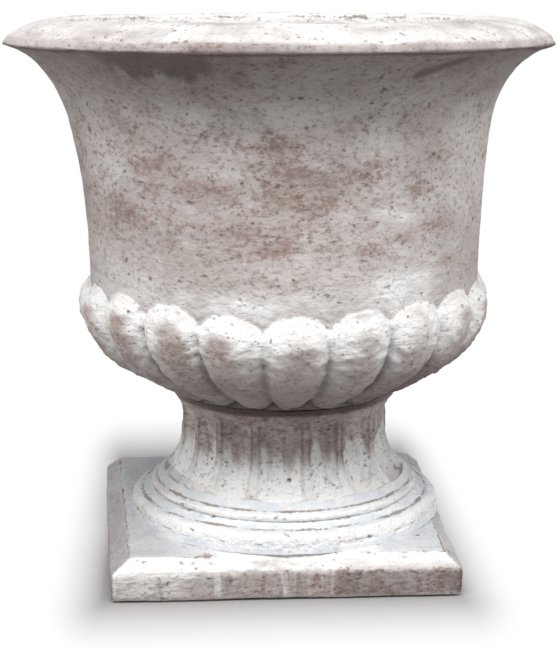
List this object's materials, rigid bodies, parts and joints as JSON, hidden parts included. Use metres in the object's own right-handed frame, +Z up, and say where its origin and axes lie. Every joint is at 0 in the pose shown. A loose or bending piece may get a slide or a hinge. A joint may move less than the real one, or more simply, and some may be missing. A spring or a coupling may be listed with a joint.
{
  "type": "footed planter",
  "caption": "Urn-shaped garden planter: gadrooned bowl with a flared lip, lifting off a fluted hollow stem on a square bevelled plinth, with a drain way through it.",
  "frame": {"origin": "middle of the footprint, on the ground under the pads", "axes": "+Z up along the planter's axis; X and Y along the plinth's sides, -Y towards the picture's viewer"},
  "size_m": [0.5, 0.4999, 0.5065],
  "materials": {
    "whitewashed_terracotta": "matte",
    "seat_rubber": "matte",
    "mortar": "matte",
    "stainless_steel": "satin",
    "screen_plastic": "matte",
    "pad_rubber": "matte"
  },
  "bodies": {
    "pedestal": {"plinth": "whitewashed_terracotta", "plinth_pads": "pad_rubber", "foot_bedding": "mortar", "foot_dowels": "stainless_steel", "stem": "whitewashed_terracotta", "bowl_seat_ring": "seat_rubber"},
    "bowl": {"bowl": "whitewashed_terracotta"},
    "drain_screen": {"drain_screen": "screen_plastic"}
  },
  "joints": [
    {"name": "bowl_lift", "type": "slide", "parent": "pedestal", "child": "bowl", "axis": [0, 0, 1], "range_m": [0, 0.15]},
    {"name": "screen_lift", "type": "slide", "parent": "bowl", "child": "drain_screen", "axis": [0, 0, 1], "range_m": [0, 0.34]}
  ]
}
